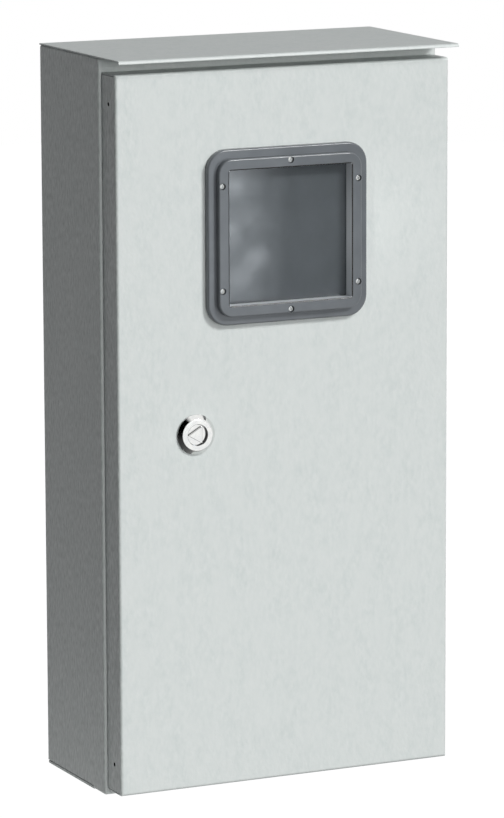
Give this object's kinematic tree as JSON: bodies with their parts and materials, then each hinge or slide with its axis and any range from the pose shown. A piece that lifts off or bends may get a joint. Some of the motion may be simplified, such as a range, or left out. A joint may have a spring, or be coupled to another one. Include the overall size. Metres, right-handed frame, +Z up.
{
  "type": "steel wall enclosure",
  "caption": "Tall wall-hung sheet-steel enclosure with an overhanging roof, a hinged door with a square window and a quarter-turn lock, and a cable entry plate below.",
  "frame": {"origin": "centre of the four wall holes, on the back face", "axes": "+X to the right seen from the room, +Y into the wall, +Z up"},
  "size_m": [0.3, 0.1594, 0.6029],
  "materials": {
    "painted_steel": "light grey textured powder coat",
    "galvanised_steel": "galvanised sheet",
    "zinc_fasteners": "bright zinc plate",
    "chrome": "bright chrome",
    "foam": "foamed polyurethane",
    "rubber": "black rubber",
    "bezel_plastic": "satin grey moulded plastic",
    "clamp_plastic": "black moulded plastic",
    "pane": "smoked polycarbonate sheet"
  },
  "bodies": {
    "cabinet": {"body_earth_nut": "zinc_fasteners", "body_earth_stud": "zinc_fasteners", "body_earth_washer": "zinc_fasteners", "body_shell": "painted_steel", "gland_gasket": "rubber", "gland_nuts": "zinc_fasteners", "gland_plate": "painted_steel", "gland_screws": "zinc_fasteners", "hinge_body_leaves": "galvanised_steel", "hinge_leaf_nuts": "zinc_fasteners", "hinge_leaf_screws": "zinc_fasteners", "hinge_pins": "zinc_fasteners", "mounting_plate": "galvanised_steel", "plate_nuts": "zinc_fasteners", "plate_spacers": "zinc_fasteners", "plate_studs": "zinc_fasteners", "plate_washers": "zinc_fasteners", "roof_sheet": "painted_steel"},
    "door": {"door_earth_nut": "zinc_fasteners", "door_earth_stud": "zinc_fasteners", "door_earth_washer": "zinc_fasteners", "door_gasket": "foam", "door_leaf_nuts": "zinc_fasteners", "door_leaf_screws": "zinc_fasteners", "door_panel": "painted_steel", "hinge_door_leaves": "galvanised_steel", "lock_housing": "chrome", "lock_nut": "zinc_fasteners", "lock_seal": "rubber", "window_bezel": "bezel_plastic", "window_clamp_frame": "clamp_plastic", "window_nuts": "zinc_fasteners", "window_pane": "pane", "window_screws": "zinc_fasteners", "window_seal": "rubber"},
    "lock_core": {"cam_screw": "zinc_fasteners", "cam_washer": "zinc_fasteners", "lock_cam": "zinc_fasteners", "lock_insert": "chrome"}
  },
  "joints": [
    {"name": "door_swing", "type": "hinge", "parent": "cabinet", "child": "door", "pos_m": [0.143, -0.1325, 0], "axis": [0, 0, 1], "range_deg": [0, 105]},
    {"name": "lock_turn", "type": "hinge", "parent": "door", "child": "lock_core", "pos_m": [-0.0801, -0.1464, -0.0037], "axis": [0, 1, 0], "range_deg": [0, 90]}
  ]
}
